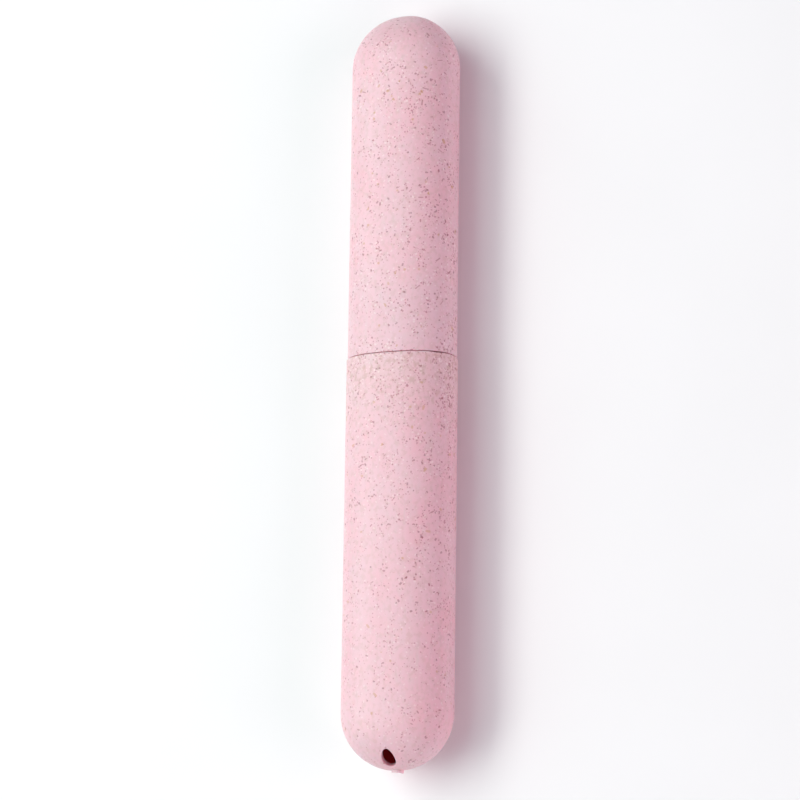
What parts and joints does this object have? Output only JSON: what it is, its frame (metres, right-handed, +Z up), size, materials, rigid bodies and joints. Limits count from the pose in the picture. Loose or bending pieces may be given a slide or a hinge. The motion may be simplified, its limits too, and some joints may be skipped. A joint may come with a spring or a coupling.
{
  "type": "travel toothbrush case",
  "caption": "Slim oval capsule case for a toothbrush: a moulded body with a stepped neck and an end vent hole, and a cap that pulls straight off.",
  "frame": {"origin": "middle of the closed case's footprint, on the surface it lies on", "axes": "+Y along the case from the body towards the cap, +X across its width, +Z up through its thickness, with the vent hole in the upper half of the body's dome"},
  "size_m": [0.03, 0.205, 0.0209],
  "materials": {
    "body_plastic": "matt pink plastic filled with fine straw flecks, greyer and denser with flecks just below the seam",
    "cap_plastic": "matt pink plastic filled with fine straw flecks"
  },
  "bodies": {
    "body": {"case_body": "body_plastic"},
    "cap": {"case_cap": "cap_plastic"}
  },
  "joints": [
    {"name": "cap_pull", "type": "slide", "parent": "body", "child": "cap", "axis": [0, 1, 0], "range_m": [0, 0.1]}
  ]
}
